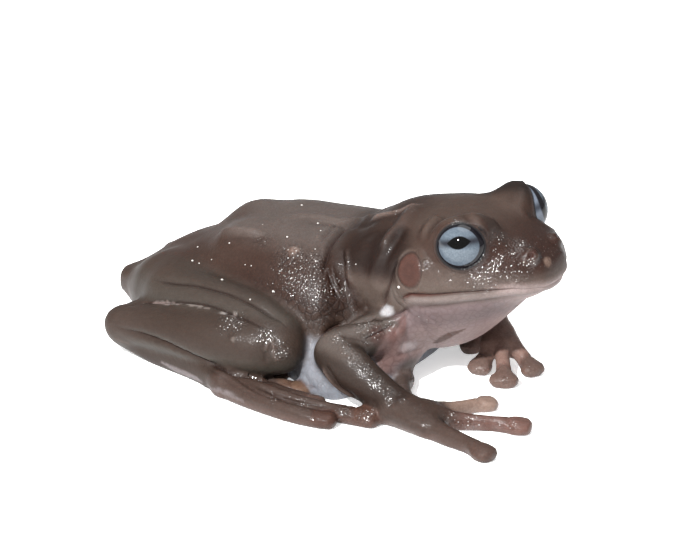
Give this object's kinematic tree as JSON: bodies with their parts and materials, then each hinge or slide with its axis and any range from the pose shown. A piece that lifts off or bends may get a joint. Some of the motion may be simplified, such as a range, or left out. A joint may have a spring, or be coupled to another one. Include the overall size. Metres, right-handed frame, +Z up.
{
  "type": "white's tree frog",
  "caption": "Life-size tree frog crouched on its belly with its hands and webbed feet spread flat and its head turned to its right.",
  "frame": {"origin": "middle of the bounding box in plan, at the level of the ground", "axes": "+X forward along the trunk from the vent, +Y to the frog's left, +Z up from the ground"},
  "size_m": [0.0762, 0.0708, 0.03],
  "materials": {
    "skin_back": "moist, finely granular skin",
    "skin_throat": "pale granular throat skin",
    "skin_limb": "moist dark brown skin",
    "skin_pads": "moist brown skin with paler toe pads",
    "eye": "wet and glossy",
    "eardrum": "smooth thin skin"
  },
  "bodies": {
    "root": {"torso": "skin_back", "head": "skin_back", "lower_jaw": "skin_throat", "eye_right": "eye", "eye_left": "eye", "eardrum_right": "eardrum", "eardrum_left": "eardrum", "upper_arm_right": "skin_limb", "forearm_right": "skin_limb", "hand_right": "skin_pads", "thigh_right": "skin_limb", "shank_right": "skin_limb", "tarsus_right": "skin_limb", "foot_right": "skin_pads", "upper_arm_left": "skin_limb", "forearm_left": "skin_limb", "hand_left": "skin_pads", "thigh_left": "skin_limb", "shank_left": "skin_limb", "tarsus_left": "skin_limb", "foot_left": "skin_pads"}
  },
  "joints": []
}
